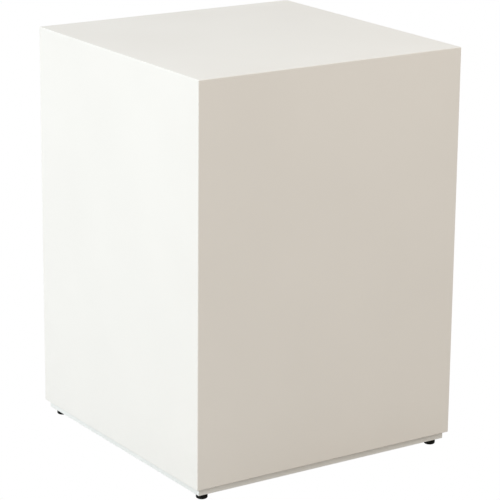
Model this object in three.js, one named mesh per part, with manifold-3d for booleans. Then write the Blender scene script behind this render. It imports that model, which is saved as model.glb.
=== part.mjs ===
import * as THREE from 'three';
import { ConvexGeometry } from 'three/addons/geometries/ConvexGeometry.js';
import { mergeVertices } from 'three/addons/utils/BufferGeometryUtils.js';
import Module from 'manifold-3d';

// A white lacquered display plinth: a mitred box of five boards closed from below by a rebated
// base board, glued up on corner posts and cleats, and standing on four screw-in levelling feet.
// Millimetres, +Z up. The origin is on the floor under the middle of the plinth. The front is -Y.

const wasm = await Module();
wasm.setup();

// ---- Driving dimensions ----

// The box.
const WIDTH = 450;
const DEPTH = 450;
const SHELL_HEIGHT = 594;
const BOARD = 12;

// The base board: a flange that shows below the box, and a tongue that stands inside its walls.
const FLANGE_HEIGHT = 11;
const FLANGE_SETBACK = 6;
const TONGUE_HEIGHT = 7;
const TONGUE_GAP = 0.5;

// The softwood inside.
const POST_SIDE = 25;
const CLEAT_SIDE = 20;
const CLEAT_END_GAP = 1;
const CLEAT_ARRIS = 2;

// The base screws, countersunk from below.
const SCREW_LENGTH = 30;
const SCREW_RADIUS = 2;
const SCREW_HEAD_RADIUS = 4;
const SCREW_RIM = 0.4;
const SCREW_TIP = 5;
const SCREW_SUNK = 0.5;
const SCREW_FROM_CORNER = 110; // from a corner of the walls' inner faces to the nearest screw

// The levelling feet: M8, with a black nylon grip and a pad that the stem turns in.
const THREAD_RADIUS = 4;
const STEM_PROJECTION = 4; // past the top of the base board
const STEM_CHAMFER = 1;
const NECK_RADIUS = 2.75;
const HEAD_RADIUS = 4.5;
const HEAD_HEIGHT = 1.5;
const PAD_RADIUS = 8.5;
const PAD_HEIGHT = 5.8;
const PAD_EDGE = 1.4;
const PAD_SOLE = 1.4;
const PAD_TOP_EDGE = 0.4;
const GRIP_RADIUS = 8.5;
const GRIP_HEIGHT = 3.3;
const GRIP_LOBES = 16;
const GRIP_SCALLOP = 0.35;

// The threaded inserts in the base board.
const INSERT_RADIUS = 6;
const INSERT_LENGTH = 13;
const INSERT_FLANGE_RADIUS = 7.5;
const INSERT_FLANGE = 1.2;
const INSERT_EDGE_WALL = 1.2; // base board left between an insert's hole and the tongue's side

// Clearances.
const FIT = 0.3; // between pieces that pass through, turn in or are screwed into each other
const SEAT_GAP = 0.4; // between a grip and the base board, with the foot wound fully in
const HOLE_END_GAP = 2;

// How finely round pieces are cut.
const ROUND = 24;
const PAD_ROUND = 32;
const EDGE_STEPS = 4;

// ---- Heights and places that follow ----

const GRIP_BOTTOM = PAD_HEIGHT + FIT;
const GRIP_TOP = GRIP_BOTTOM + GRIP_HEIGHT;
const BASE_BOTTOM = GRIP_TOP + SEAT_GAP;
const SHELL_BOTTOM = BASE_BOTTOM + FLANGE_HEIGHT;
const BASE_TOP = SHELL_BOTTOM + TONGUE_HEIGHT;
const SHELL_TOP = SHELL_BOTTOM + SHELL_HEIGHT;
const CEILING = SHELL_TOP - BOARD;
const STEM_TOP = BASE_TOP + STEM_PROJECTION;

const outer = { x: WIDTH / 2, y: DEPTH / 2 };
const inner = { x: outer.x - BOARD, y: outer.y - BOARD };
const footFromWall = TONGUE_GAP + INSERT_EDGE_WALL + FIT + INSERT_RADIUS;
const foot = { x: inner.x - footFromWall, y: inner.y - footFromWall };

const CORNERS = [
  { name: 'front_left', x: -1, y: -1 },
  { name: 'front_right', x: 1, y: -1 },
  { name: 'rear_right', x: 1, y: 1 },
  { name: 'rear_left', x: -1, y: 1 },
];

const SIDES = [
  { name: 'front', along: 'x', across: 'y', sign: -1 },
  { name: 'right', along: 'y', across: 'x', sign: 1 },
  { name: 'rear', along: 'x', across: 'y', sign: 1 },
  { name: 'left', along: 'y', across: 'x', sign: -1 },
];

// ---- Finishes ----

function finish(color, roughness, metalness) {
  return () => new THREE.MeshStandardMaterial({ color, roughness, metalness });
}

const whiteLacquer = finish(0xf1f0ec, 0.35, 0);
const whitePaint = finish(0xe4e3de, 0.5, 0);
const softwood = finish(0xd9bd8c, 0.7, 0);
const zincSteel = finish(0xb9bdc2, 0.35, 1);
const blackNylon = finish(0x101210, 0.5, 0);

// ---- Shapes ----

// A box between two opposite corners.
function block(low, high) {
  const size = high.map((value, i) => value - low[i]);
  const middle = high.map((value, i) => (value + low[i]) / 2);
  return new THREE.BoxGeometry(...size).translate(...middle);
}

// A profile of [radius, height] points turned about the Z axis.
function turned(profile, sides) {
  const points = profile.map(([radius, height]) => new THREE.Vector2(radius, height));
  return new THREE.LatheGeometry(points, sides).rotateX(Math.PI / 2);
}

function closedRing(profile, sides) {
  return turned([...profile, profile[0]], sides);
}

function rod(radius, bottom, top) {
  return turned([[0, bottom], [radius, bottom], [radius, top], [0, top]], ROUND);
}

// The radius of a hole's flat-sided outline that clears a round piece all the way round.
function holeRadius(radius) {
  return (radius + FIT) / Math.cos(Math.PI / ROUND);
}

function solidOf(geometry) {
  const bare = geometry.clone();
  bare.deleteAttribute('normal');
  bare.deleteAttribute('uv');
  const merged = mergeVertices(bare, 1e-5);
  const mesh = new wasm.Mesh({
    numProp: 3,
    vertProperties: Float32Array.from(merged.attributes.position.array),
    triVerts: Uint32Array.from(merged.index.array),
  });
  return new wasm.Manifold(mesh);
}

function geometryOf(solid) {
  const mesh = solid.getMesh();
  const geometry = new THREE.BufferGeometry();
  geometry.setAttribute('position', new THREE.BufferAttribute(mesh.vertProperties, mesh.numProp));
  geometry.setIndex(new THREE.BufferAttribute(mesh.triVerts, 1));
  geometry.computeVertexNormals();
  return geometry;
}

function cut(body, tools) {
  return geometryOf(tools.reduce((solid, tool) => solid.subtract(solidOf(tool)), solidOf(body)));
}

// A point from its place along a side, its distance across to that side, and its height.
function onSide(side, along, across, height) {
  const point = { x: 0, y: 0 };
  point[side.along] = along;
  point[side.across] = side.sign * across;
  return new THREE.Vector3(point.x, point.y, height);
}

function blockOnSide(side, halfLength, acrossLow, acrossHigh, bottom, top) {
  const a = onSide(side, -halfLength, acrossLow, bottom);
  const b = onSide(side, halfLength, acrossHigh, top);
  return block(a.clone().min(b).toArray(), a.clone().max(b).toArray());
}

// ---- The model ----

const plinth = new THREE.Group();

function add(name, geometry, material, position = [0, 0, 0]) {
  const mesh = new THREE.Mesh(geometry, material());
  mesh.name = name;
  mesh.position.set(...position);
  plinth.add(mesh);
}

// The top board, mitred on all four edges: a flat slab whose sides slope in at 45 degrees.
function topPanel() {
  const points = [];
  for (const corner of CORNERS) {
    points.push(new THREE.Vector3(corner.x * outer.x, corner.y * outer.y, SHELL_TOP));
    points.push(new THREE.Vector3(corner.x * inner.x, corner.y * inner.y, CEILING));
  }
  return new ConvexGeometry(points);
}

// A wall board, mitred on its two upright edges and its top edge, and square at the bottom.
function wallPanel(side) {
  const faces = [
    { half: outer[side.along], across: outer[side.across], top: SHELL_TOP },
    { half: inner[side.along], across: inner[side.across], top: CEILING },
  ];
  const points = [];
  for (const face of faces) {
    for (const along of [-face.half, face.half]) {
      points.push(onSide(side, along, face.across, SHELL_BOTTOM));
      points.push(onSide(side, along, face.across, face.top));
    }
  }
  return new ConvexGeometry(points);
}

// Two screws stand on each side's cleat.
function screwPlaces() {
  const places = [];
  for (const side of SIDES) {
    for (const [number, direction] of [[1, -1], [2, 1]]) {
      const along = direction * (inner[side.along] - SCREW_FROM_CORNER);
      const across = inner[side.across] - CLEAT_SIDE / 2;
      places.push({ name: `${side.name}_${number}`, side, at: onSide(side, along, across, 0) });
    }
  }
  return places;
}

const SCREWS = screwPlaces();
const SCREW_BOTTOM = BASE_BOTTOM + SCREW_SUNK;
const SCREW_TOP = SCREW_BOTTOM + SCREW_LENGTH;
const SCREW_CONE = SCREW_HEAD_RADIUS - SCREW_RADIUS;

function screw() {
  return turned([
    [0, 0],
    [SCREW_HEAD_RADIUS, 0],
    [SCREW_HEAD_RADIUS, SCREW_RIM],
    [SCREW_RADIUS, SCREW_RIM + SCREW_CONE],
    [SCREW_RADIUS, SCREW_LENGTH - SCREW_TIP],
    [0, SCREW_LENGTH],
  ], ROUND);
}

// The hole that a screw passes through, with its countersink open at the underside.
function screwHole(at) {
  const head = holeRadius(SCREW_HEAD_RADIUS);
  const shank = holeRadius(SCREW_RADIUS);
  const rim = SCREW_BOTTOM + SCREW_RIM + FIT;
  return turned([
    [0, BASE_BOTTOM - 1],
    [head, BASE_BOTTOM - 1],
    [head, rim],
    [shank, rim + head - shank],
    [shank, SCREW_TOP + HOLE_END_GAP],
    [0, SCREW_TOP + HOLE_END_GAP],
  ], ROUND).translate(at.x, at.y, 0);
}

// The stepped hole for an insert, its flange and the stem that passes on through it.
function insertHole(corner) {
  const flange = holeRadius(INSERT_FLANGE_RADIUS);
  const barrel = holeRadius(INSERT_RADIUS);
  const stem = holeRadius(THREAD_RADIUS + FIT);
  return turned([
    [0, BASE_BOTTOM - 1],
    [flange, BASE_BOTTOM - 1],
    [flange, BASE_BOTTOM + INSERT_FLANGE + FIT],
    [barrel, BASE_BOTTOM + INSERT_FLANGE + FIT],
    [barrel, BASE_BOTTOM + INSERT_LENGTH + FIT],
    [stem, BASE_BOTTOM + INSERT_LENGTH + FIT],
    [stem, BASE_TOP + 1],
    [0, BASE_TOP + 1],
  ], ROUND).translate(corner.x * foot.x, corner.y * foot.y, 0);
}

function basePanel() {
  const flange = { x: outer.x - FLANGE_SETBACK, y: outer.y - FLANGE_SETBACK };
  const tongue = { x: inner.x - TONGUE_GAP, y: inner.y - TONGUE_GAP };
  const flangeBlock = block([-flange.x, -flange.y, BASE_BOTTOM], [flange.x, flange.y, SHELL_BOTTOM]);
  const tongueBlock = block([-tongue.x, -tongue.y, SHELL_BOTTOM - 1], [tongue.x, tongue.y, BASE_TOP]);
  const board = geometryOf(solidOf(flangeBlock).add(solidOf(tongueBlock)));
  return cut(board, [...CORNERS.map(insertHole), ...SCREWS.map(({ at }) => screwHole(at))]);
}

// A square post in a corner of the box, with a blind hole at its foot that the stem reaches into.
function cornerPost(corner) {
  const spans = ['x', 'y'].map((axis) => {
    const ends = [corner[axis] * inner[axis], corner[axis] * (inner[axis] - POST_SIDE)];
    return [Math.min(...ends), Math.max(...ends)];
  });
  const post = block([spans[0][0], spans[1][0], BASE_TOP], [spans[0][1], spans[1][1], CEILING]);
  const hole = rod(holeRadius(THREAD_RADIUS + FIT), BASE_TOP - 1, STEM_TOP + HOLE_END_GAP);
  return cut(post, [hole.translate(corner.x * foot.x, corner.y * foot.y, 0)]);
}

// A length of batten glued along a wall and against a board: seat is the board's height, and
// direction is the way that the batten grows from it. Its free arris is planed off.
function cleat(side, seat, direction) {
  const half = inner[side.along] - POST_SIDE - CLEAT_END_GAP;
  const wall = inner[side.across];
  const free = wall - CLEAT_SIDE;
  const tip = seat + direction * CLEAT_SIDE;
  const section = [
    [wall, seat],
    [wall, tip],
    [free + CLEAT_ARRIS, tip],
    [free, tip - direction * CLEAT_ARRIS],
    [free, seat],
  ];
  const points = [-half, half].flatMap((along) => (
    section.map(([across, height]) => onSide(side, along, across, height))
  ));
  return new ConvexGeometry(points);
}

function baseCleat(side) {
  const holes = SCREWS.filter((place) => place.side === side).map(({ at }) => screwHole(at));
  return cut(cleat(side, BASE_TOP, 1), holes);
}

// A steel insert with a flange flush with the underside of the base board.
function insert() {
  const bore = holeRadius(THREAD_RADIUS);
  return closedRing([
    [bore, 0],
    [INSERT_FLANGE_RADIUS, 0],
    [INSERT_FLANGE_RADIUS, INSERT_FLANGE],
    [INSERT_RADIUS, INSERT_FLANGE],
    [INSERT_RADIUS, INSERT_LENGTH],
    [bore, INSERT_LENGTH],
  ], ROUND);
}

// The nylon pad: its lower edge is rounded, and a lip at its mouth keeps the stem's head in.
function footPad() {
  const edge = [];
  for (let step = 0; step <= EDGE_STEPS; step += 1) {
    const angle = (step / EDGE_STEPS) * (Math.PI / 2);
    const radius = PAD_RADIUS - PAD_EDGE * (1 - Math.sin(angle));
    edge.push([radius, PAD_EDGE * (1 - Math.cos(angle))]);
  }
  const pocketTop = PAD_SOLE + FIT + HEAD_HEIGHT + FIT;
  return turned([
    [0, 0],
    ...edge,
    [PAD_RADIUS, PAD_HEIGHT - PAD_TOP_EDGE],
    [PAD_RADIUS - PAD_TOP_EDGE, PAD_HEIGHT],
    [NECK_RADIUS + FIT, PAD_HEIGHT],
    [NECK_RADIUS + FIT, pocketTop],
    [HEAD_RADIUS + FIT, pocketTop],
    [HEAD_RADIUS + FIT, PAD_SOLE],
    [0, PAD_SOLE],
  ], PAD_ROUND);
}

// The steel stem: a head held in the pad, a neck, and the thread as a plain rod of its outer size.
function footStem() {
  const headBottom = PAD_SOLE + FIT;
  const headTop = headBottom + HEAD_HEIGHT;
  return turned([
    [0, headBottom],
    [HEAD_RADIUS, headBottom],
    [HEAD_RADIUS, headTop],
    [NECK_RADIUS, headTop],
    [NECK_RADIUS, GRIP_BOTTOM],
    [THREAD_RADIUS, GRIP_BOTTOM],
    [THREAD_RADIUS, STEM_TOP - STEM_CHAMFER],
    [THREAD_RADIUS - STEM_CHAMFER, STEM_TOP],
    [0, STEM_TOP],
  ], ROUND);
}

// The nylon grip moulded round the stem, with a scalloped rim for the fingers.
function footGrip() {
  const rim = new THREE.Shape();
  const steps = GRIP_LOBES * EDGE_STEPS;
  for (let step = 0; step < steps; step += 1) {
    const angle = (step / steps) * 2 * Math.PI;
    const radius = GRIP_RADIUS - GRIP_SCALLOP * (1 - Math.cos(GRIP_LOBES * angle)) / 2;
    const place = [radius * Math.cos(angle), radius * Math.sin(angle)];
    if (step === 0) rim.moveTo(...place);
    else rim.lineTo(...place);
  }
  rim.closePath();
  const bore = new THREE.Path();
  bore.absarc(0, 0, holeRadius(THREAD_RADIUS), 0, 2 * Math.PI, true);
  rim.holes.push(bore);
  const settings = { depth: GRIP_HEIGHT, bevelEnabled: false, curveSegments: ROUND };
  return new THREE.ExtrudeGeometry(rim, settings);
}

// ---- Boards and battens ----

add('top_panel', topPanel(), whiteLacquer);
add('base_panel', basePanel(), whitePaint);
for (const side of SIDES) {
  add(`${side.name}_panel`, wallPanel(side), whiteLacquer);
  add(`top_cleat_${side.name}`, cleat(side, CEILING, -1), softwood);
  add(`base_cleat_${side.name}`, baseCleat(side), softwood);
}
for (const { name, at } of SCREWS) {
  add(`base_screw_${name}`, screw(), zincSteel, [at.x, at.y, SCREW_BOTTOM]);
}

// ---- Corners: a post, and a foot in its insert ----

for (const corner of CORNERS) {
  const place = (height) => [corner.x * foot.x, corner.y * foot.y, height];
  add(`corner_post_${corner.name}`, cornerPost(corner), softwood);
  add(`foot_insert_${corner.name}`, insert(), zincSteel, place(BASE_BOTTOM));
  add(`foot_pad_${corner.name}`, footPad(), blackNylon, place(0));
  add(`foot_stem_${corner.name}`, footStem(), zincSteel, place(0));
  add(`foot_grip_${corner.name}`, footGrip(), blackNylon, place(GRIP_BOTTOM));
}

export default plinth;
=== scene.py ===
"""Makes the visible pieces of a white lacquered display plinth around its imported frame."""

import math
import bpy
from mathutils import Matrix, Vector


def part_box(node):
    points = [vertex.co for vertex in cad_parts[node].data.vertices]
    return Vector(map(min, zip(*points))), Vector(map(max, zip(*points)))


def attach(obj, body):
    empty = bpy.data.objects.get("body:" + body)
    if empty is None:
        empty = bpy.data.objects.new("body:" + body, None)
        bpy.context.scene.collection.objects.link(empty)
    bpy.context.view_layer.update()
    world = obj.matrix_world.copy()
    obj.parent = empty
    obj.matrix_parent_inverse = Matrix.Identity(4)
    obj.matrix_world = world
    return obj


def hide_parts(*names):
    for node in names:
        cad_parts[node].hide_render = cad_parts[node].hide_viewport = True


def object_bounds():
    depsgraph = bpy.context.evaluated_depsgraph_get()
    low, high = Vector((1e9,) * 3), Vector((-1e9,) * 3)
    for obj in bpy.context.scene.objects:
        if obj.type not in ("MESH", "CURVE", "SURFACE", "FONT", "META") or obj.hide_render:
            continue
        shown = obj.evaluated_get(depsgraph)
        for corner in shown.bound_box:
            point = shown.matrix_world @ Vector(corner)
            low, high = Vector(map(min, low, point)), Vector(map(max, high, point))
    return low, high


bl_info = {
    "name": "Display Plinth",
    "version": (1, 0, 0),
    "blender": (4, 5, 0),
    "location": "3D View > Sidebar > Plinth",
    "description": "Makes a white lacquered display plinth on four levelling feet",
    "category": "Add Mesh",
}

from contextlib import contextmanager

import bmesh
import bpy
from bpy.props import FloatProperty, FloatVectorProperty, IntProperty, PointerProperty
from mathutils import Quaternion, Vector

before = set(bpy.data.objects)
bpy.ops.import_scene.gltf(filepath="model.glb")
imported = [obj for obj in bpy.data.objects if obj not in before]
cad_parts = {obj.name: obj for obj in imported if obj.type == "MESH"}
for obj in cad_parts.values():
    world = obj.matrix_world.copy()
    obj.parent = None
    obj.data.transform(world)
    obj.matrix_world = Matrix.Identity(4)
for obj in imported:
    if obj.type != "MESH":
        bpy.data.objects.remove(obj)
cad_low, cad_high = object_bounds()

MM = 0.001

CORNERS = {
    "front_left": (-1, -1),
    "front_right": (1, -1),
    "rear_right": (1, 1),
    "rear_left": (-1, 1),
}
# Each side's name, the axis that it runs along, the axis that it faces along, and which way.
SIDES = {
    "front": ("x", "y", -1),
    "right": ("y", "x", 1),
    "rear": ("x", "y", 1),
    "left": ("y", "x", -1),
}


# ---- Places and sizes from the frame ----


def middle(node):
    """The middle of a frame node's box."""
    low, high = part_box(node)
    return (Vector(low) + Vector(high)) / 2


def size(node):
    """The lengths of a frame node's box."""
    low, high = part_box(node)
    return Vector(high) - Vector(low)


top_low, top_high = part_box("top_panel")
BOARD = size("top_panel").z
HALF = Vector((top_high[0], top_high[1]))
INNER = Vector((HALF.x - BOARD, HALF.y - BOARD))
SHELL_TOP = top_high[2]
CEILING = top_low[2]
SHELL_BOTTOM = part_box("front_panel")[0][2]
BASE_LOW, BASE_HIGH = (Vector(corner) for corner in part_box("base_panel"))
PAD_HEIGHT = size("foot_pad_front_left").z
PAD_RADIUS = size("foot_pad_front_left").x / 2
GRIP_LOW, GRIP_HIGH = (corner[2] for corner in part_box("foot_grip_front_left"))
GRIP_RADIUS = size("foot_grip_front_left").x / 2
STEM_LOW, STEM_TOP = (corner[2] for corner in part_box("foot_stem_front_left"))
STEM_HEAD_RADIUS = size("foot_stem_front_left").x / 2
INSERT_FLANGE_RADIUS = size("foot_insert_front_left").x / 2
INSERT_LENGTH = size("foot_insert_front_left").z
SCREW_LENGTH = size("base_screw_front_1").z
SCREW_HEAD_RADIUS = size("base_screw_front_1").x / 2

# What the frame's boxes don't give, at the frame's own sizes.
THREAD_RADIUS = 4 * MM
STEM_HEAD = 1.5 * MM
STEM_NECK_RADIUS = 2.75 * MM
STEM_CHAMFER = 1 * MM
INSERT_RADIUS = 6 * MM
INSERT_FLANGE = 1.2 * MM
PAD_SOLE = 1.4 * MM
SCREW_RADIUS = 2 * MM
SCREW_RIM = 0.4 * MM
SCREW_TIP = 5 * MM
FIT = 0.3 * MM  # between pieces that pass through, turn in or are screwed into each other
TONGUE_GAP = 0.5 * MM
BATTEN_ARRIS = 2 * MM
GRIP_LOBES = 16
GRIP_SCALLOP = 0.35 * MM

# The M8 thread, which the frame leaves plain.
THREAD_PITCH = 1.25 * MM
THREAD_DEPTH = 0.613 * THREAD_PITCH
THREAD_CREST = 1 / 8  # the flats at the crest and at the root, as shares of the pitch
THREAD_ROOT = 1 / 4
THREAD_STEP = THREAD_PITCH / 10  # rows of a modelled thread
BORE_GAP = 0.08 * MM  # from the stem's thread to the insert's

# How finely round things are drawn.
QUARTER = math.radians(90)
HOLE_SIDES = 48
STEM_SIDES = 48
INSERT_SIDES = 72
PAD_SIDES = 96
SCREW_SIDES = 36
SIDES_PER_LOBE = 12
BLOCK_SEGMENTS = 3
BATTEN_SEGMENTS = 2

# The stage, in metres. Each soft box has its place and its width.
FLOOR_RADIUS = 14
FLOOR_SIDES = 96
FLOOR_DROP = 10.1 * MM  # the feet's travel of 10 mm, and a little more
SOFT_BOXES = {
    "side": ((-3.0, 0.5, 1.0), 3.0),
    "top": ((-0.3, 0.5, 3.0), 2.6),
    "front": ((0.3, -1.4, 1.5), 0.8),
    "right": ((3.2, 1.2, 0.6), 1.0),
}


# ---- Colours ----


def linear(colour):
    """The linear RGBA of an sRGB hex colour."""
    channels = (int(colour[i : i + 2], 16) / 255 for i in (1, 3, 5))
    return (*(c / 12.92 if c <= 0.04045 else ((c + 0.055) / 1.055) ** 2.4 for c in channels), 1)


WHITE = linear("#FFFFFF")


# ---- Materials ----


def add(tree, kind, inputs=None, stops=(), **settings):
    """Adds a node with its settings and links.

    An input is a value, a socket to link from, or a node whose first output is linked. A colour
    ramp's stops are pairs of a position and a linear colour.
    """
    node = tree.nodes.new(kind)
    for name, value in settings.items():
        setattr(node, name, value)
    for name, value in (inputs or {}).items():
        if isinstance(value, bpy.types.Node):
            value = value.outputs[0]
        if isinstance(value, bpy.types.NodeSocket):
            tree.links.new(value, node.inputs[name])
        else:
            node.inputs[name].default_value = value
    if stops:
        elements = node.color_ramp.elements
        while len(elements) < len(stops):
            elements.new(0.5)
        for element, (position, colour) in zip(elements, stops):
            element.position = position
            element.color = colour
    return node


def surface(name, **constants):
    """A new material, its node tree, its Principled shader with constants set, and its coordinates."""
    material = bpy.data.materials.new(name)
    material.use_nodes = True
    shader = material.node_tree.nodes["Principled BSDF"]
    for socket, value in constants.items():
        shader.inputs[socket.replace("_", " ")].default_value = value
    place = add(material.node_tree, "ShaderNodeTexCoord").outputs["Object"]
    return material, material.node_tree, shader, place


def feed(tree, shader, **nodes):
    """Links each node's first output to the shader's socket of that name."""
    for socket, node in nodes.items():
        tree.links.new(node.outputs[0], shader.inputs[socket.replace("_", " ")])


# Most of a noise texture's values lie between these.
NOISE_SPREAD = {"From Min": 0.3, "From Max": 0.7}
WAVE_PERIOD = math.pi / 10  # a wave texture's period at scale 1


def per_metre(feature):
    """The texture scale that gives features of this many millimetres."""
    return 1 / (feature * MM)


def white_lacquer(settings):
    """Fibreboard sprayed with white two-pack lacquer: satin, with a faint orange peel."""
    material, tree, shader, place = surface(
        "white_sprayed_lacquer", IOR=1.5, Coat_Weight=0.12, Coat_Roughness=0.22)
    # The film is a shade thicker and thinner from one pass of the spray fan to the next.
    film = add(tree, "ShaderNodeTexNoise", {"Vector": place, "Scale": per_metre(160), "Detail": 2.0})
    thin, thick = (*settings.lacquer_deep, 1), (*settings.lacquer_light, 1)
    colour = add(tree, "ShaderNodeValToRGB", {"Fac": film}, stops=[(0.3, thin), (0.7, thick)])
    # Orange peel is 1 to 2 mm across; it is drawn at 3 mm so that it shows.
    peel = add(tree, "ShaderNodeTexNoise", {"Vector": place, "Scale": per_metre(3), "Detail": 1.0})
    # Sanding between coats leaves the board's face very slightly uneven.
    flow = add(tree, "ShaderNodeTexNoise", {"Vector": place, "Scale": per_metre(70), "Detail": 0.0})
    matt = settings.lacquer_roughness
    rough = add(tree, "ShaderNodeMapRange",
                {"Value": film, **NOISE_SPREAD, "To Min": matt - 0.03, "To Max": matt + 0.03})
    uneven = add(tree, "ShaderNodeBump", {"Height": flow, "Distance": 0.06 * MM, "Strength": 0.5})
    dimpled = add(tree, "ShaderNodeBump",
                  {"Height": peel, "Distance": 0.01 * MM, "Strength": 0.35, "Normal": uneven})
    feed(tree, shader, Base_Color=colour, Roughness=rough, Normal=dimpled)
    return material


def raw_fibreboard():
    """Medium-density fibreboard as it is cut: matt brown, with short pressed fibres."""
    material, tree, shader, place = surface("raw_fibreboard", IOR=1.45)
    # Fibres 1 to 2 mm long, in a board whose tone drifts every few centimetres.
    fibres = add(tree, "ShaderNodeTexNoise",
                 {"Vector": place, "Scale": per_metre(1.5), "Detail": 6.0, "Roughness": 0.7})
    patches = add(tree, "ShaderNodeTexNoise",
                  {"Vector": place, "Scale": per_metre(60), "Detail": 3.0})
    tone = add(tree, "ShaderNodeMath", {0: fibres, 1: patches}, operation="MULTIPLY")
    colour = add(tree, "ShaderNodeValToRGB", {"Fac": tone},
                 stops=[(0.1, linear("#A98A62")), (0.5, linear("#C2A57C"))])
    rough = add(tree, "ShaderNodeMapRange",
                {"Value": fibres, **NOISE_SPREAD, "To Min": 0.78, "To Max": 0.92})
    hairy = add(tree, "ShaderNodeBump", {"Height": fibres, "Distance": 0.08 * MM, "Strength": 0.6})
    feed(tree, shader, Base_Color=colour, Roughness=rough, Normal=hairy)
    return material


def rolled_paint(settings):
    """Fibreboard rolled with white acrylic paint: low sheen, with the roller's stipple."""
    material, tree, shader, place = surface("white_rolled_paint", IOR=1.48)
    # The coat is uneven over about a roller's width of 50 mm.
    coat = add(tree, "ShaderNodeTexNoise", {"Vector": place, "Scale": per_metre(50), "Detail": 4.0})
    thin, thick = (*settings.paint_deep, 1), (*settings.paint_light, 1)
    colour = add(tree, "ShaderNodeValToRGB", {"Fac": coat}, stops=[(0.32, thin), (0.68, thick)])
    # A short-pile roller leaves dimples about 1.5 mm apart.
    dimples = add(tree, "ShaderNodeTexVoronoi", {"Vector": place, "Scale": per_metre(1.5)},
                  feature="SMOOTH_F1")
    # The paint's grit is finer than this; it is drawn at 0.6 mm so that it shows.
    grit = add(tree, "ShaderNodeTexNoise", {"Vector": place, "Scale": per_metre(0.6), "Detail": 3.0})
    rough = add(tree, "ShaderNodeMapRange",
                {"Value": coat, **NOISE_SPREAD, "To Min": 0.46, "To Max": 0.6})
    stippled = add(tree, "ShaderNodeBump",
                   {"Height": dimples, "Distance": 0.04 * MM, "Strength": 0.5})
    gritty = add(tree, "ShaderNodeBump",
                 {"Height": grit, "Distance": 0.015 * MM, "Strength": 0.4, "Normal": stippled})
    feed(tree, shader, Base_Color=colour, Roughness=rough, Normal=gritty)
    return material


def planed_softwood(along):
    """Pine planed square: pale early wood and darker late wood in bands along the length."""
    material, tree, shader, place = surface(f"planed_softwood_{along}", IOR=1.45)
    # The growth rings lie across the batten and drift slowly along it.
    stretch = {"x": (0.04, 1, 1), "y": (1, 0.04, 1), "z": (1, 1, 0.04)}[along]
    grain = add(tree, "ShaderNodeMapping", {"Vector": place, "Scale": stretch})
    drift = add(tree, "ShaderNodeTexNoise", {"Vector": grain, "Scale": per_metre(30), "Detail": 2.0})
    sway = (12 * MM, 12 * MM, 12 * MM)
    bent = add(tree, "ShaderNodeVectorMath", {0: drift.outputs["Color"], 1: sway, 2: grain},
               operation="MULTIPLY_ADD")
    # Rings about 4 mm apart.
    rings = add(tree, "ShaderNodeTexWave",
                {"Vector": bent, "Scale": WAVE_PERIOD * per_metre(4), "Distortion": 1.5,
                 "Detail": 2.0},
                wave_type="RINGS", rings_direction=along.upper())
    colour = add(tree, "ShaderNodeValToRGB", {"Fac": rings.outputs["Fac"]},
                 stops=[(0.0, linear("#E6CFA0")), (0.6, linear("#DDBD86")),
                        (0.95, linear("#B98B50"))])
    # Wood cells are far finer than this; they are drawn at 0.8 mm so that they show.
    fibres = add(tree, "ShaderNodeTexNoise",
                 {"Vector": grain, "Scale": per_metre(0.8), "Detail": 3.0})
    rough = add(tree, "ShaderNodeMapRange",
                {"Value": fibres, **NOISE_SPREAD, "To Min": 0.55, "To Max": 0.75})
    fibrous = add(tree, "ShaderNodeBump", {"Height": fibres, "Distance": 0.05 * MM, "Strength": 0.5})
    feed(tree, shader, Base_Color=colour, Roughness=rough, Normal=fibrous)
    return material


def zinc_plate():
    """Cold-formed steel, bright zinc plated: a cool silver with a faint blue and yellow bloom."""
    material, tree, shader, place = surface("bright_zinc_plate", Metallic=1.0)
    # The passivation's bloom changes over about 6 mm.
    bloom = add(tree, "ShaderNodeTexNoise", {"Vector": place, "Scale": per_metre(6), "Detail": 3.0})
    colour = add(tree, "ShaderNodeValToRGB", {"Fac": bloom},
                 stops=[(0.3, linear("#B4BDC6")), (0.5, linear("#C6C9C8")),
                        (0.75, linear("#CFC9B6"))])
    # The plating's crystals are far finer than this; they are drawn at 0.3 mm so that they show.
    crystals = add(tree, "ShaderNodeTexNoise",
                   {"Vector": place, "Scale": per_metre(0.3), "Detail": 2.0})
    rough = add(tree, "ShaderNodeMapRange",
                {"Value": crystals, **NOISE_SPREAD, "To Min": 0.24, "To Max": 0.42})
    frosted = add(tree, "ShaderNodeBump",
                  {"Height": crystals, "Distance": 0.004 * MM, "Strength": 0.4})
    feed(tree, shader, Base_Color=colour, Roughness=rough, Normal=frosted)
    return material


def black_nylon(settings):
    """Injection-moulded black nylon: a fine spark-eroded texture, greyer where it rubs."""
    material, tree, shader, place = surface("black_moulded_nylon", IOR=1.53, Specular_IOR_Level=0.18)
    # The mould's texture is about 0.1 mm; it is drawn at 0.35 mm so that it shows.
    texture = add(tree, "ShaderNodeTexNoise",
                  {"Vector": place, "Scale": per_metre(0.35), "Detail": 2.0})
    # Rubbed patches are about 4 mm across.
    rubbed = add(tree, "ShaderNodeTexNoise", {"Vector": place, "Scale": per_metre(4), "Detail": 4.0})
    fresh, worn = (*settings.nylon, 1), (*(Vector(settings.nylon) * 1.8), 1)
    colour = add(tree, "ShaderNodeValToRGB", {"Fac": rubbed}, stops=[(0.45, fresh), (0.8, worn)])
    rough = add(tree, "ShaderNodeMapRange",
                {"Value": rubbed, **NOISE_SPREAD, "To Min": 0.5, "To Max": 0.64})
    grained = add(tree, "ShaderNodeBump", {"Height": texture, "Distance": 0.02 * MM, "Strength": 0.5})
    feed(tree, shader, Base_Color=colour, Roughness=rough, Normal=grained)
    return material


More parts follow.
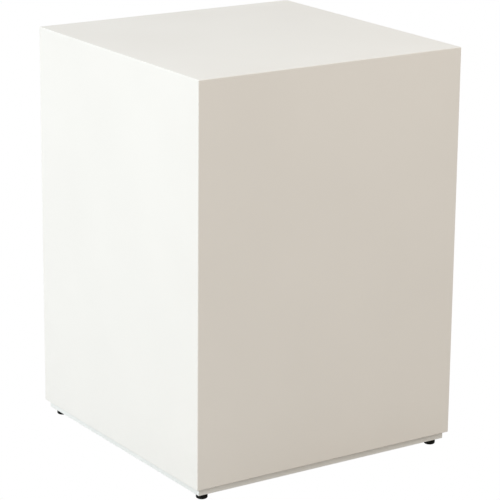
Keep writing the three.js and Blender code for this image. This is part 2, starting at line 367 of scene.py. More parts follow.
def floor_sheet():
    """Matt studio paper: it shows as white as the room, and throws back half of the light."""
    material, tree, shader, place = surface("white_studio_sweep", Roughness=0.9, Specular_IOR_Level=0.1)
    # The sheet's tone drifts a little over 0.4 m.
    paper = add(tree, "ShaderNodeTexNoise", {"Vector": place, "Scale": per_metre(400), "Detail": 3.0})
    colour = add(tree, "ShaderNodeValToRGB", {"Fac": paper},
                 stops=[(0.3, linear("#BABABA")), (0.7, linear("#BDBDBD"))])
    feed(tree, shader, Base_Color=colour)
    white = add(tree, "ShaderNodeEmission", {"Color": WHITE, "Strength": 1.0})
    rays = add(tree, "ShaderNodeLightPath")
    shown = add(tree, "ShaderNodeMixShader",
                {"Fac": rays.outputs["Is Camera Ray"], 1: shader.outputs["BSDF"], 2: white})
    feed(tree, tree.nodes["Material Output"], Surface=shown)
    return material


def finish(name, make, *values):
    """A material by name, made the first time that it is asked for."""
    return bpy.data.materials.get(name) or make(*values)


# ---- Mesh making ----


def new_piece(name, mesh, materials):
    """A new object from mesh data, with its materials unless the mesh has them already."""
    piece = bpy.data.objects.new(name, mesh)
    bpy.context.scene.collection.objects.link(piece)
    if not mesh.materials:
        for material in materials:
            mesh.materials.append(material)
    return piece


@contextmanager
def edited(mesh):
    """Opens mesh data for editing and writes it back."""
    form = bmesh.new()
    form.from_mesh(mesh)
    yield form
    form.to_mesh(mesh)
    form.free()


def new_mesh(name, points, faces):
    """Mesh data from points and faces, with its faces turned outwards."""
    mesh = bpy.data.meshes.new(name)
    mesh.from_pydata(points, [], faces)
    with edited(mesh) as form:
        bmesh.ops.recalc_face_normals(form, faces=form.faces)
    return mesh


def smooth(mesh, degrees):
    """Smooth shading, with edges sharper than this kept crisp."""
    limit = math.radians(degrees)
    with edited(mesh) as form:
        for face in form.faces:
            face.smooth = True
        for edge in form.edges:
            edge.smooth = len(edge.link_faces) == 2 and edge.calc_face_angle() < limit
    return mesh


def rounded(form, radius, segments):
    """Rounds every edge of a mesh that is open for editing."""
    bmesh.ops.bevel(form, geom=form.edges, offset=radius, segments=segments, profile=0.5,
                    affect="EDGES")


def even_faces(piece):
    """Keeps large flat faces flat beside their rounded edges."""
    modifier = piece.modifiers.new("Even faces", "WEIGHTED_NORMAL")
    modifier.keep_sharp = True
    modifier.weight = 100
    return piece


def turned(name, rows, sides, closed=False):
    """A solid turned about Z from rows of (radius, height). A radius may be a function of the angle.

    A closed profile joins its last row to its first; an open one is capped where it isn't a point.
    """
    points, rings = [], []
    for radius, height in rows:
        if radius == 0:
            rings.append([len(points)] * sides)
            points.append((0, 0, height))
            continue
        rings.append([len(points) + i for i in range(sides)])
        for i in range(sides):
            angle = 2 * math.pi * i / sides
            reach = radius(angle) if callable(radius) else radius
            points.append((reach * math.cos(angle), reach * math.sin(angle), height))
    pairs = list(zip(rings, rings[1:]))
    if closed:
        pairs.append((rings[-1], rings[0]))
    faces = []
    for low, high in pairs:
        for i in range(sides):
            j = (i + 1) % sides
            face = list(dict.fromkeys((low[i], low[j], high[j], high[i])))
            if len(face) > 2:
                faces.append(face)
    if not closed:
        faces += [ring for ring in (rings[0], rings[-1]) if len(set(ring)) > 2]
    return new_mesh(name, points, faces)


def eased_block(name, low, high, radius):
    """A block with rounded arrises."""
    mesh = bpy.data.meshes.new(name)
    low, high = Vector(low), Vector(high)
    with edited(mesh) as form:
        bmesh.ops.create_cube(form, size=1)
        for vertex in form.verts:
            vertex.co = [(low[i] + high[i]) / 2 + vertex.co[i] * (high[i] - low[i]) for i in range(3)]
        rounded(form, radius, BLOCK_SEGMENTS)
    return mesh


def joined(name, meshes):
    """One mesh of several that don't touch, which are used up."""
    whole = bpy.data.meshes.new(name)
    with edited(whole) as form:
        for mesh in meshes:
            form.from_mesh(mesh)
            bpy.data.meshes.remove(mesh)
    return whole


def carved(mesh, tool, operation="DIFFERENCE"):
    """Mesh data after a boolean with a tool's mesh data, both used up."""
    scene = bpy.context.scene
    body = bpy.data.objects.new("carved_body", mesh)
    cutter = bpy.data.objects.new("carved_tool", tool)
    for item in (body, cutter):
        scene.collection.objects.link(item)
    modifier = body.modifiers.new("Cut", "BOOLEAN")
    modifier.object = cutter
    modifier.operation = operation
    modifier.solver = "EXACT"
    ready = body.evaluated_get(bpy.context.evaluated_depsgraph_get())
    result = bpy.data.meshes.new_from_object(ready)
    result.name = mesh.name
    for item in (body, cutter):
        used = item.data
        bpy.data.objects.remove(item)
        bpy.data.meshes.remove(used)
    return result


def stand(piece, node, body):
    """Hides the frame node that a piece stands for, and hangs the piece on the body that carries it."""
    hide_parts(node)
    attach(piece, body)


# ---- The lacquered boards ----


def edge_steps(radius, steps):
    """Offsets from a rounded edge's tangent line that divide its half turn evenly."""
    return [radius * math.tan(math.radians(45) * i / steps) for i in range(steps + 1)]


def lines_across(half, radius, steps, spans):
    """Grid lines from one rounded edge to the other: (place on the core, offset past it)."""
    core = half - radius
    arc = edge_steps(radius, steps)
    lines = [(-core, -offset) for offset in reversed(arc[1:])]
    lines += [(-core + 2 * core * i / spans, 0) for i in range(spans + 1)]
    return lines + [(core, offset) for offset in arc[1:]]


WELD_DIGITS = 8  # points of a board that agree to this many decimals are one point


def board_mesh(name, skin, normals, others):
    """Mesh data of a board from its skin, a grid of points with their normals, and its flat faces."""
    points, faces = [], []
    index = {}

    def number(point):
        key = tuple(round(c, WELD_DIGITS) for c in point)
        if key not in index:
            index[key] = len(points)
            points.append(point)
        return index[key]

    skin_normals = {}
    grid = [[number(point) for point in row] for row in skin]
    for row, directions in zip(grid, normals):
        skin_normals.update(zip(row, directions))
    for low, high in zip(grid, grid[1:]):
        for i in range(len(low) - 1):
            faces.append((low[i], low[i + 1], high[i + 1], high[i]))
    skin_faces = len(faces)
    faces += [[number(point) for point in face] for face in others]
    mesh = new_mesh(name, points, faces)
    loops = []
    for polygon in mesh.polygons:
        polygon.use_smooth = True
        on_skin = polygon.index < skin_faces
        polygon.material_index = 0 if on_skin else 1
        for vertex in polygon.vertices:
            loops.append(skin_normals[vertex] if on_skin else polygon.normal)
    mesh.normals_split_custom_set(loops)
    return mesh


def top_board(settings):
    """The top, with each edge rounded as far as its mitre."""
    radius, steps = settings.arris, settings.arris_steps
    skin, normals = [], []
    for core_y, past_y in lines_across(HALF.y, radius, steps, settings.spans):
        row, directions = [], []
        for core_x, past_x in lines_across(HALF.x, radius, steps, settings.spans):
            direction = Vector((past_x, past_y, radius)).normalized()
            row.append(Vector((core_x, core_y, SHELL_TOP - radius)) + direction * radius)
            directions.append(direction)
        skin.append(row)
        normals.append(directions)
    inside = [Vector((sx * INNER.x, sy * INNER.y, CEILING)) for sx, sy in CORNERS.values()]
    front, rear = skin[0], skin[-1]
    left, right = [row[0] for row in skin], [row[-1] for row in skin]
    others = [
        inside,
        [*front, inside[1], inside[0]],
        [*right, inside[2], inside[1]],
        [*rear, inside[2], inside[3]],
        [*left, inside[3], inside[0]],
    ]
    return board_mesh("top_board", skin, normals, others)


# Each wall's X and Y from a place along it and a distance out from the middle.
WALL_PLACES = {
    "front": lambda along, out: (along, -out),
    "right": lambda along, out: (out, along),
    "rear": lambda along, out: (-along, out),
    "left": lambda along, out: (-out, -along),
}


def wall_board(name, settings):
    """A wall, rounded as far as its mitres at the sides and top and all the way round below."""
    along, across, _ = SIDES[name]
    radius, steps, eased = settings.arris, settings.arris_steps, settings.lower_arris

    def placed(a, out, height):
        return Vector((*WALL_PLACES[name](a, out), height))

    half_along, half_across = getattr(HALF, along), getattr(HALF, across)
    core = half_across - radius
    columns = lines_across(half_along, radius, steps, settings.spans)
    skin, normals = [], []
    # Below, the arris turns a full quarter into the wall's lower edge.
    for i in range(steps + 1):
        angle = QUARTER * (1 - i / steps)
        inset, drop = eased * (1 - math.cos(angle)), eased * (1 - math.sin(angle))
        reach, level = radius - inset, math.cos(angle)
        row, directions = [], []
        for core_a, past_a in columns:
            flat = Vector((past_a, radius)).normalized()
            row.append(placed(core_a + flat.x * reach, core + flat.y * reach, SHELL_BOTTOM + drop))
            directions.append(placed(flat.x * level, flat.y * level, -math.sin(angle)))
        skin.append(row)
        normals.append(directions)
    start, top_core = SHELL_BOTTOM + eased, SHELL_TOP - radius
    tall, spans = top_core - start, settings.spans
    heights = [(start + tall * i / spans, 0) for i in range(1, spans + 1)]
    heights += [(top_core, offset) for offset in edge_steps(radius, steps)[1:]]
    for height, past_z in heights:
        row, directions = [], []
        for core_a, past_a in columns:
            direction = Vector((past_a, radius, past_z)).normalized()
            reach = direction * radius
            row.append(placed(core_a + reach.x, core + reach.y, height + reach.z))
            directions.append(placed(*direction))
        skin.append(row)
        normals.append(directions)
    ends, depth = (-getattr(INNER, along), getattr(INNER, along)), getattr(INNER, across)
    low_start, low_end = (placed(end, depth, SHELL_BOTTOM) for end in ends)
    top_start, top_end = (placed(end, depth, CEILING) for end in ends)
    others = [
        [low_start, low_end, top_end, top_start],
        [*skin[0], low_end, low_start],
        [*skin[-1], top_end, top_start],
        [*[row[0] for row in skin], top_start, low_start],
        [*[row[-1] for row in skin], top_end, low_end],
    ]
    return board_mesh(f"{name}_board", skin, normals, others)


# ---- Base, battens and fixings ----


def round_hole(rows, place):
    """A round cutter from rows of (radius, height), standing at a place."""
    hole = turned("hole", rows, HOLE_SIDES)
    for vertex in hole.vertices:
        vertex.co += Vector((place.x, place.y, 0))
    return hole


def screw_hole(node):
    """The cutter for a base screw: its countersink, and the shank's hole past its tip."""
    low, high = (corner[2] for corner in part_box(node))
    head, shank = SCREW_HEAD_RADIUS + FIT, SCREW_RADIUS + FIT
    outside, rim, end = BASE_LOW.z - MM, low + SCREW_RIM + FIT, high + 2 * MM
    rows = [
        (0, outside),
        (head + MM, outside),
        (head, BASE_LOW.z),
        (head, rim),
        (shank, rim + head - shank),
        (shank, end),
        (0, end),
    ]
    return round_hole(rows, middle(node))


def insert_hole(corner):
    """The cutter for a foot's insert: its flange, its barrel, and the stem's hole past it."""
    flange, barrel, stem = INSERT_FLANGE_RADIUS + FIT, INSERT_RADIUS + FIT, THREAD_RADIUS + 2 * FIT
    outside, inside = BASE_LOW.z - MM, BASE_HIGH.z + MM
    step, end = BASE_LOW.z + INSERT_FLANGE + FIT, BASE_LOW.z + INSERT_LENGTH + FIT
    rows = [
        (0, outside),
        (flange, outside),
        (flange, step),
        (barrel, step),
        (barrel, end),
        (stem, end),
        (stem, inside),
        (0, inside),
    ]
    return round_hole(rows, middle(f"foot_insert_{corner}"))


def screws_of(side):
    """The frame nodes of a side's two base screws."""
    return [f"base_screw_{side}_{number}" for number in (1, 2)]


SCREW_NODES = [node for side in SIDES for node in screws_of(side)]


def base_mesh(settings, materials):
    """The base board: an eased flange, the tongue on it, and the holes for inserts and screws."""
    tongue_arris, sharp = 0.5 * MM, 40
    flange_top = (BASE_HIGH.x, BASE_HIGH.y, SHELL_BOTTOM)
    flange = eased_block("base_board", BASE_LOW, flange_top, settings.base_arris)
    for material in materials:
        flange.materials.append(material)
    reach = INNER - Vector((TONGUE_GAP, TONGUE_GAP))
    tongue_low = (-reach.x, -reach.y, SHELL_BOTTOM - MM)
    tongue = eased_block("tongue", tongue_low, (reach.x, reach.y, BASE_HIGH.z), tongue_arris)
    holes = [screw_hole(node) for node in SCREW_NODES]
    holes += [insert_hole(corner) for corner in CORNERS]
    tools = joined("holes", holes)
    # The tongue and the holes are bare board.
    for bare in (tongue, tools):
        bare.polygons.foreach_set("material_index", [1] * len(bare.polygons))
    return smooth(carved(carved(flange, tongue, "UNION"), tools), sharp)


def post_mesh(corner):
    """A square post with eased arrises and a blind hole for the end of the stem."""
    arris, sharp = 1.2 * MM, 40
    node = f"corner_post_{corner}"
    low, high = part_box(node)
    post = eased_block(f"post_{corner}", low, high, arris)
    outside, hole = low[2] - MM, THREAD_RADIUS + 2 * FIT
    rows = [(0, outside), (hole, outside), (hole, STEM_TOP + 2 * MM), (0, STEM_TOP + 3 * MM)]
    return smooth(carved(post, round_hole(rows, middle(f"foot_stem_{corner}"))), sharp)


def batten_mesh(node, side, screws):
    """A batten with its free arris planed off, the others eased, and pilot holes for its screws."""
    arris, sharp = 0.5 * MM, 40
    along, across, sign = SIDES[side]
    low, high = (Vector(corner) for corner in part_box(node))
    seat, tip = (low.z, high.z) if node.startswith("base") else (high.z, low.z)
    step = math.copysign(BATTEN_ARRIS, seat - tip)
    near, far = getattr(high, across), getattr(low, across)
    if sign < 0:
        near, far = far, near
    inwards = math.copysign(BATTEN_ARRIS, near - far)
    section = [(near, seat), (near, tip), (far + inwards, tip), (far, tip + step), (far, seat)]
    points = []
    for end in (getattr(low, along), getattr(high, along)):
        for place, height in section:
            points.append((end, place, height) if along == "x" else (place, end, height))
    count = len(section)
    faces = [list(range(count)), list(range(count, 2 * count))]
    faces += [(i, (i + 1) % count, (i + 1) % count + count, i + count) for i in range(count)]
    mesh = new_mesh(node.replace("cleat", "batten"), points, faces)
    with edited(mesh) as form:
        rounded(form, arris, BATTEN_SEGMENTS)
    if screws:
        mesh = carved(mesh, joined("pilots", [screw_hole(screw) for screw in screws]))
    return smooth(mesh, sharp)


def thread(angle, height, outer, depth, pitch, crest, root):
    """A right-hand thread's radius at an angle and a height."""
    phase = (height / pitch - angle / math.tau) % 1
    away = abs(2 * phase - 1)
    fall = (away - crest) / (1 - root - crest)
    return outer - depth * min(max(fall, 0), 1)


def threaded_rows(start, end, step, radius):
    """Rows for turned() between two heights, from a function of the angle and the height."""
    count = max(1, round((end - start) / step))
    heights = [start + (end - start) * i / count for i in range(count + 1)]
    return [(lambda angle, z=z: radius(angle, z), z) for z in heights]


def stem_thread(angle, height):
    """The stem's M8 thread."""
    return thread(angle, height, THREAD_RADIUS, THREAD_DEPTH, THREAD_PITCH, THREAD_CREST, THREAD_ROOT)


def stem_mesh():
    """The steel stem: its captive head, neck, knurled shank and M8 thread, chamfered at the top."""
    edge, sharp = 0.2 * MM, 30
    head_top = STEM_LOW + STEM_HEAD
    shank_radius, knurl, knurls = 3.85 * MM, 0.1 * MM, 24
    shank_start, shank_end = GRIP_LOW + 0.2 * MM, GRIP_HIGH - 0.3 * MM
    groove_start, groove_end = GRIP_HIGH - 0.2 * MM, GRIP_HIGH + 0.3 * MM
    thread_start, thread_end = GRIP_HIGH + 0.5 * MM, STEM_TOP - STEM_CHAMFER
    root = THREAD_RADIUS - THREAD_DEPTH

    def knurled(angle, height):
        return shank_radius + knurl * math.cos(knurls * angle)

    def chamfered(angle, height):
        return min(stem_thread(angle, height), THREAD_RADIUS - STEM_CHAMFER + (STEM_TOP - height))

    rows = [
        (0, STEM_LOW),
        (STEM_HEAD_RADIUS - edge, STEM_LOW),
        (STEM_HEAD_RADIUS, STEM_LOW + edge),
        (STEM_HEAD_RADIUS, head_top - edge),
        (STEM_HEAD_RADIUS - edge, head_top),
        (STEM_NECK_RADIUS, head_top),
        (STEM_NECK_RADIUS, GRIP_LOW + 0.1 * MM),
        *threaded_rows(shank_start, shank_end, shank_end - shank_start, knurled),
        (root, groove_start),
        (root, groove_end),
        *threaded_rows(thread_start, thread_end, THREAD_STEP, stem_thread),
        *threaded_rows(thread_end + THREAD_STEP, STEM_TOP, THREAD_STEP, chamfered),
        (0, STEM_TOP),
    ]
    return smooth(turned("foot_stem", rows, STEM_SIDES), sharp)


def insert_mesh():
    """The screw-in insert: flange with a hexagon drive, coarse outer thread and M8 bore."""
    edge, sharp = 0.2 * MM, 30
    low, top = BASE_LOW.z, BASE_LOW.z + INSERT_LENGTH
    depth, pitch, crest, root, step = 0.8 * MM, 2.5 * MM, 0.1, 0.4, 0.25 * MM
    half_flat, drive, mouth = 4.4 * MM, 3 * MM, 5.3 * MM
    tip_chamfer, bore_chamfer = 1.2 * MM, 0.3 * MM
    thread_start, thread_end = low + INSERT_FLANGE + 0.6 * MM, top - 0.8 * MM
    bore_start, bore_end = low + drive + 0.5 * MM, top - 0.5 * MM

    def outside(angle, height):
        return thread(angle, height, INSERT_RADIUS, depth, pitch, crest, root)

    def hexagon(angle, height):
        return half_flat / math.cos((angle % math.radians(60)) - math.radians(30))

    def bore(angle, height):
        return BORE_GAP + stem_thread(angle, height)

    bore_rows = threaded_rows(bore_start, bore_end, THREAD_STEP, bore)
    drive_rows = threaded_rows(low + edge, low + drive, drive, hexagon)
    rows = [
        (INSERT_FLANGE_RADIUS - edge, low),
        (INSERT_FLANGE_RADIUS, low + edge),
        (INSERT_FLANGE_RADIUS, low + INSERT_FLANGE - edge),
        (INSERT_FLANGE_RADIUS - edge, low + INSERT_FLANGE),
        (INSERT_RADIUS - depth, low + INSERT_FLANGE),
        *threaded_rows(thread_start, thread_end, step, outside),
        (INSERT_RADIUS - tip_chamfer, top),
        (THREAD_RADIUS + bore_chamfer, top),
        *reversed(bore_rows),
        *reversed(drive_rows),
        (mouth, low),
    ]
    return smooth(turned("foot_insert", rows, INSERT_SIDES, closed=True), sharp)


def quarter_turn(steps):
    """Angles from 0 to a quarter turn."""
    return [QUARTER * i / steps for i in range(steps + 1)]


def grip_mesh():
    """The nylon grip on the stem, with a scalloped rim and rounded edges."""
    edge, steps, sharp = 0.5 * MM, 4, 40
    bore = THREAD_RADIUS + 0.05 * MM

    def rim(inset):
        def scalloped(angle):
            dip = GRIP_SCALLOP * (1 - math.cos(GRIP_LOBES * angle)) / 2
            return GRIP_RADIUS - inset - dip

        return scalloped

    arc = quarter_turn(steps)
    lower = [(rim(edge * (1 - math.sin(a))), GRIP_LOW + edge * (1 - math.cos(a))) for a in arc]
    upper = [(rim(edge * (1 - math.cos(a))), GRIP_HIGH - edge * (1 - math.sin(a))) for a in arc]
    rows = [(bore, GRIP_LOW), *lower, *upper, (bore, GRIP_HIGH)]
    return smooth(turned("foot_grip", rows, SIDES_PER_LOBE * GRIP_LOBES, closed=True), sharp)


def pad_mesh():
    """The nylon pad: a grooved sole, a well-rounded lower edge, and a lipped pocket for the head."""
    edge, top_edge, steps, sharp = 2.2 * MM, 0.4 * MM, 8, 40
    groove, groove_width, groove_side, groove_depth = 4.6 * MM, 0.8 * MM, 0.15 * MM, 0.3 * MM
    lip, pocket, lip_chamfer = STEM_NECK_RADIUS + FIT, STEM_HEAD_RADIUS + FIT, 0.3 * MM
    pocket_top = PAD_SOLE + STEM_HEAD + 2 * FIT
    corner = [
        (PAD_RADIUS - edge * (1 - math.sin(a)), edge * (1 - math.cos(a))) for a in quarter_turn(steps)
    ]
    shoulder = [
        (PAD_RADIUS - top_edge * (1 - math.cos(a)), PAD_HEIGHT - top_edge * (1 - math.sin(a)))
        for a in quarter_turn(steps // 2)
    ]
    rows = [
        (0, 0),
        (groove, 0),
        (groove + groove_side, groove_depth),
        (groove + groove_width - groove_side, groove_depth),
        (groove + groove_width, 0),
        *corner,
        *shoulder,
        (lip + lip_chamfer, PAD_HEIGHT),
        (lip, PAD_HEIGHT - lip_chamfer),
        (lip, pocket_top),
        (pocket, pocket_top),
        (pocket, PAD_SOLE),
        (0, PAD_SOLE),
    ]
    return smooth(turned("foot_pad", rows, PAD_SIDES), sharp)


def recess_wing(across):
    """The tapered cutter for one of the two slots of a screw's cross recess."""
    mouth, floor = (-MM, 2.6 * MM, 0.6 * MM), (1.9 * MM, 0.8 * MM, 0.35 * MM)
    points = []
    for height, long, wide in (mouth, floor):
        for a, b in ((-long, -wide), (long, -wide), (long, wide), (-long, wide)):
            points.append((b, a, height) if across else (a, b, height))
    faces = [(0, 1, 2, 3), (4, 5, 6, 7), (0, 1, 5, 4), (1, 2, 6, 5), (2, 3, 7, 6), (3, 0, 4, 7)]
    return new_mesh("recess", points, faces)


def screw_mesh():
    """A countersunk wood screw standing on its head, with a cross recess in it."""
    edge, sharp, point = 0.15 * MM, 35, 0.05 * MM
    core, thread_start = 1.45 * MM, 11 * MM
    cone_top = SCREW_RIM + SCREW_HEAD_RADIUS - core
    depth, pitch, crest, root, step = 0.7 * MM, 1.8 * MM, 0.08, 0.45, 0.2 * MM

    def tapered(angle, height):
        taper = min(1, (SCREW_LENGTH - height) / SCREW_TIP)
        reach = thread(angle, height, SCREW_RADIUS, depth, pitch, crest, root)
        return max(reach * taper, point)

    rows = [
        (0, 0),
        (SCREW_HEAD_RADIUS - edge, 0),
        (SCREW_HEAD_RADIUS, edge),
        (SCREW_HEAD_RADIUS, SCREW_RIM),
        (core, cone_top),
        (core, thread_start - 0.4 * MM),
        *threaded_rows(thread_start, SCREW_LENGTH - 0.1 * MM, step, tapered),
        (0, SCREW_LENGTH),
    ]
    mesh = turned("base_screw", rows, SCREW_SIDES)
    for across in (False, True):
        mesh = carved(mesh, recess_wing(across))
    return smooth(mesh, sharp)


# ---- Settings ----


def colour_setting(name, description, colour):
    """A colour property with its default given as sRGB hex."""
    return FloatVectorProperty(name=name, description=description, subtype="COLOR", size=3,
                               default=linear(colour)[:3], min=0, max=1)


def length_setting(name, description, default):
    """A length property in metres."""
    return FloatProperty(name=name, description=description, default=default, min=0, precision=5,
                         subtype="DISTANCE", unit="LENGTH")


def angle_setting(name, description, degrees):
    """An angle property with its default given in degrees."""
    return FloatProperty(name=name, description=description, default=math.radians(degrees),
                         subtype="ANGLE", unit="ROTATION")


def power_setting(name, description, default):
    """A light's power in watts."""
    return FloatProperty(name=name, description=description, default=default, min=0, unit="POWER")


def count_setting(name, description, default):
    """A whole number from 1 up."""
    return IntProperty(name=name, description=description, default=default, min=1)


class PlinthBoxSettings(bpy.types.PropertyGroup):
    lacquer_light: colour_setting("Lacquer", "The lacquer where its film is thick", "#F8F7F1")
    lacquer_deep: colour_setting("Lacquer Shade", "The lacquer where its film is thin", "#F6F5EF")
    lacquer_roughness: FloatProperty(
        name="Lacquer Roughness", description="How matt the lacquer is", default=0.38, min=0, max=1,
        subtype="FACTOR")
    arris: length_setting("Arris", "The radius of the box's edges", 1.3 * MM)
    lower_arris: length_setting("Lower Arris", "The radius of the walls' lower edges", 0.8 * MM)
    arris_steps: count_setting("Arris Steps", "Facets in half of an edge", 6)
    spans: count_setting("Spans", "Divisions along a board", 8)


class PlinthBaseSettings(bpy.types.PropertyGroup):
    paint_light: colour_setting("Paint", "The base's paint where it is thick", "#F8FBF8")
    paint_deep: colour_setting("Paint Shade", "The base's paint where it is thin", "#F2F5F2")
    base_arris: length_setting("Base Arris", "The radius of the base's edges", 0.7 * MM)


class PlinthFeetSettings(bpy.types.PropertyGroup):
    nylon: colour_setting("Nylon", "The feet's black nylon", "#0B0D0A")


class PlinthStageSettings(bpy.types.PropertyGroup):
    azimuth: angle_setting("Azimuth", "The camera's bearing from straight in front", -33.516)
    elevation: angle_setting("Elevation", "The camera's height over the horizon", 16.216)
    roll: angle_setting("Roll", "The camera's tilt to one side", 0.542)
    distance: length_setting("Distance", "From the camera to what it aims at", 3.506)
    aim: FloatVectorProperty(
        name="Aim", description="What the camera aims at, from the middle of the plinth",
        default=(0.0067, -0.0044, -0.0204), subtype="TRANSLATION", unit="LENGTH")
    lens: FloatProperty(
        name="Lens", description="Focal length in millimetres", default=166.66, min=1, unit="CAMERA")
    room: colour_setting("Room", "The light from all round the studio", "#D2C6BA")
    side_colour: colour_setting("Side Colour", "The light of the soft box on the left", "#EAF5FF")
    top_colour: colour_setting("Top Colour", "The light of the soft box overhead", "#A0D7FF")
    side_power: power_setting("Side Power", "The wide soft box on the left", 74.5)
    top_power: power_setting("Top Power", "The soft box overhead", 20.5)
    front_power: power_setting("Front Power", "The small soft box high in front", 4.8)
    right_power: power_setting("Right Power", "The soft box behind and to the right", 22)


class PlinthSettings(bpy.types.PropertyGroup):
    box: PointerProperty(type=PlinthBoxSettings)
    base: PointerProperty(type=PlinthBaseSettings)
    feet: PointerProperty(type=PlinthFeetSettings)
    stage: PointerProperty(type=PlinthStageSettings)


# ---- Operators ----


class PLINTH_OT_stage(bpy.types.Operator):
    """Make the pale floor, the soft lights and the camera"""

    bl_idname = "plinth.stage"
    bl_label = "Stage"

    def execute(self, context):
        settings = context.scene.plinth.stage
        context.scene.view_settings.view_transform = "Standard"
        self.make_floor()
        self.make_room(context, settings)
        for name, (place, width) in SOFT_BOXES.items():
            colour = getattr(settings, f"{name}_colour", WHITE[:3])
            self.make_light(context, name, getattr(settings, f"{name}_power"), colour, place, width)
        self.make_camera(context, settings)
        return {"FINISHED"}

    @staticmethod
    def make_floor():
        # It lies a foot's travel down, so that the pads clear it when they are wound right out.
        turns = [math.tau * i / FLOOR_SIDES for i in range(FLOOR_SIDES)]
        rim = [(FLOOR_RADIUS * math.cos(a), FLOOR_RADIUS * math.sin(a), -FLOOR_DROP) for a in turns]
        mesh = bpy.data.meshes.new("floor")
        mesh.from_pydata(rim, [], [list(range(FLOOR_SIDES))])
        floor = new_piece("floor", mesh, [finish("white_studio_sweep", floor_sheet)])

    @staticmethod
    def make_room(context, settings):
        # The room shows as plain white, and lights the plinth with its own warmer colour.
        world = bpy.data.worlds.new("pale_room")
        world.use_nodes = True
        tree = world.node_tree
        lit = tree.nodes["Background"]
        lit.inputs["Color"].default_value = (*settings.room, 1)
        lit.inputs["Strength"].default_value = 1.0
        seen = add(tree, "ShaderNodeBackground", {"Color": WHITE})
        rays = add(tree, "ShaderNodeLightPath")
        shown = add(tree, "ShaderNodeMixShader",
                    {"Fac": rays.outputs["Is Camera Ray"], 1: lit, 2: seen})
        feed(tree, tree.nodes["World Output"], Surface=shown)
        context.scene.world = world

    @staticmethod
    def make_light(context, name, power, colour, place, width):
        data = bpy.data.lights.new(f"{name}_soft_box", "AREA")
        data.energy = power
        data.color = colour
        data.shape = "SQUARE"
        data.size = width
        light = bpy.data.objects.new(data.name, data)
        light.location = place
        towards = (cad_low + cad_high) / 2 - light.location
        light.rotation_euler = towards.to_track_quat("-Z", "Y").to_euler()
        light.visible_camera = False
        context.scene.collection.objects.link(light)

    @staticmethod
    def make_camera(context, settings):
        data = bpy.data.cameras.new("camera")
        data.lens = settings.lens
        camera = bpy.data.objects.new("camera", data)
        flat = math.cos(settings.elevation)
        back = Vector((math.sin(settings.azimuth) * flat, -math.cos(settings.azimuth) * flat,
                       math.sin(settings.elevation)))
        camera.location = (cad_low + cad_high) / 2 + Vector(settings.aim) + back * settings.distance
        camera.rotation_mode = "QUATERNION"
        level = (-back).to_track_quat("-Z", "Y")
        camera.rotation_quaternion = level @ Quaternion((0, 0, 1), settings.roll)
        context.scene.collection.objects.link(camera)
        context.scene.camera = camera


class PLINTH_OT_box(bpy.types.Operator):
    """Make the five mitred and lacquered boards of the box"""

    bl_idname = "plinth.box"
    bl_label = "Lacquered Box"

    def execute(self, context):
        settings = context.scene.plinth.box
        materials = [finish("white_sprayed_lacquer", white_lacquer, settings),
                     finish("raw_fibreboard", raw_fibreboard)]
        top = new_piece("top_board", top_board(settings), materials)
        stand(top, "top_panel", "plinth")
        for side in SIDES:
            wall = new_piece(f"{side}_board", wall_board(side, settings), materials)
            stand(wall, f"{side}_panel", "plinth")
        return {"FINISHED"}


class PLINTH_OT_base(bpy.types.Operator):
    """Make the painted base board with its holes"""

    bl_idname = "plinth.base"
    bl_label = "Base Board"

    def execute(self, context):
        settings = context.scene.plinth.base
        materials = [finish("white_rolled_paint", rolled_paint, settings),
                     finish("raw_fibreboard", raw_fibreboard)]
        base = new_piece("base_board", base_mesh(settings, materials), materials)
        stand(even_faces(base), "base_panel", "plinth")
        return {"FINISHED"}


class PLINTH_OT_softwood(bpy.types.Operator):
    """Make the corner posts and the battens inside the box"""

    bl_idname = "plinth.softwood"
    bl_label = "Posts and Battens"

    def execute(self, context):
        for corner in CORNERS:
            pine = finish("planed_softwood_z", planed_softwood, "z")
            post = new_piece(f"post_{corner}", post_mesh(corner), [pine])
            stand(even_faces(post), f"corner_post_{corner}", "plinth")
        for side, (along, _, _) in SIDES.items():
            pine = finish(f"planed_softwood_{along}", planed_softwood, along)
            for node, held in ((f"top_cleat_{side}", []), (f"base_cleat_{side}", screws_of(side))):
                mesh = batten_mesh(node, side, held)
                batten = new_piece(node.replace("cleat", "batten"), mesh, [pine])
                stand(even_faces(batten), node, "plinth")
        return {"FINISHED"}


class PLINTH_OT_screws(bpy.types.Operator):
    """Make the countersunk screws that hold the base board"""

    bl_idname = "plinth.screws"
    bl_label = "Base Screws"

    def execute(self, context):
        mesh = screw_mesh()
        zinc = finish("bright_zinc_plate", zinc_plate)
        # Driven by hand, the recesses point every way.
        twist = math.radians(137.5)
        for number, node in enumerate(SCREW_NODES):
            piece = new_piece(node.replace("base_screw", "screw"), mesh, [zinc])
            place = middle(node)
            piece.location = (place.x, place.y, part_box(node)[0][2])
            piece.rotation_euler.z = twist * number
            stand(piece, node, "plinth")
        return {"FINISHED"}


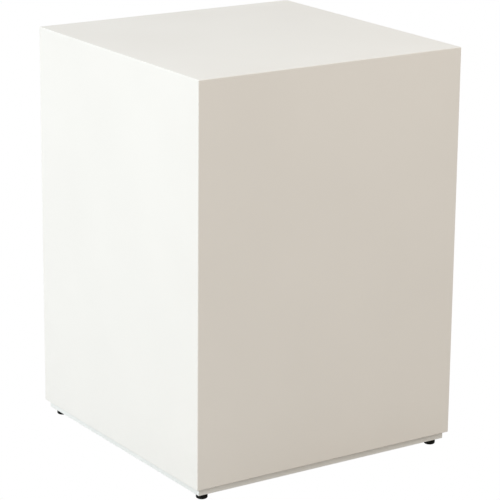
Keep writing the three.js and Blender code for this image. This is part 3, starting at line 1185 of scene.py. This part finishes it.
class PLINTH_OT_feet(bpy.types.Operator):
    """Make the four levelling feet and the inserts that they screw into"""

    bl_idname = "plinth.feet"
    bl_label = "Levelling Feet"

    def execute(self, context):
        nylon = finish("black_moulded_nylon", black_nylon, context.scene.plinth.feet)
        zinc = finish("bright_zinc_plate", zinc_plate)
        kinds = [
            ("foot_insert", insert_mesh(), zinc, "plinth", "zinc_steel"),
            ("foot_pad", pad_mesh(), nylon, "pad_{}", "black_nylon"),
            ("foot_stem", stem_mesh(), zinc, "stem_{}", "zinc_steel"),
            ("foot_grip", grip_mesh(), nylon, "stem_{}", "black_nylon"),
        ]
        for corner in CORNERS:
            place = middle(f"foot_pad_{corner}")
            for kind, mesh, material, body, slot in kinds:
                piece = new_piece(f"{kind}_piece_{corner}", mesh, [material])
                piece.location = (place.x, place.y, 0)
                stand(piece, f"{kind}_{corner}", body.format(corner))
        return {"FINISHED"}


class VIEW3D_PT_plinth(bpy.types.Panel):
    """The plinth's sizes and colours, and a button for each group of pieces"""

    bl_label = "Display Plinth"
    bl_space_type = "VIEW_3D"
    bl_region_type = "UI"
    bl_category = "Plinth"

    def draw(self, context):
        settings = context.scene.plinth
        for group in (settings.box, settings.base, settings.feet, settings.stage):
            section = self.layout.box()
            for name in group.bl_rna.properties.keys():
                if name not in ("rna_type", "name"):
                    section.prop(group, name)
        for operator in OPERATORS:
            self.layout.operator(operator.bl_idname)


OPERATORS = (PLINTH_OT_stage, PLINTH_OT_box, PLINTH_OT_base, PLINTH_OT_softwood, PLINTH_OT_screws,
             PLINTH_OT_feet)
CLASSES = (PlinthBoxSettings, PlinthBaseSettings, PlinthFeetSettings, PlinthStageSettings,
           PlinthSettings, *OPERATORS, VIEW3D_PT_plinth)


def register():
    """Register the classes and the settings."""
    for item in CLASSES:
        bpy.utils.register_class(item)
    bpy.types.Scene.plinth = PointerProperty(type=PlinthSettings)


def unregister():
    """Remove what register() added."""
    del bpy.types.Scene.plinth
    for item in reversed(CLASSES):
        bpy.utils.unregister_class(item)


def main():
    """Make the whole plinth and its stage."""
    register()
    bpy.ops.plinth.stage()
    bpy.ops.plinth.box()
    bpy.ops.plinth.base()
    bpy.ops.plinth.softwood()
    bpy.ops.plinth.screws()
    bpy.ops.plinth.feet()


if __name__ == "__main__":
    main()
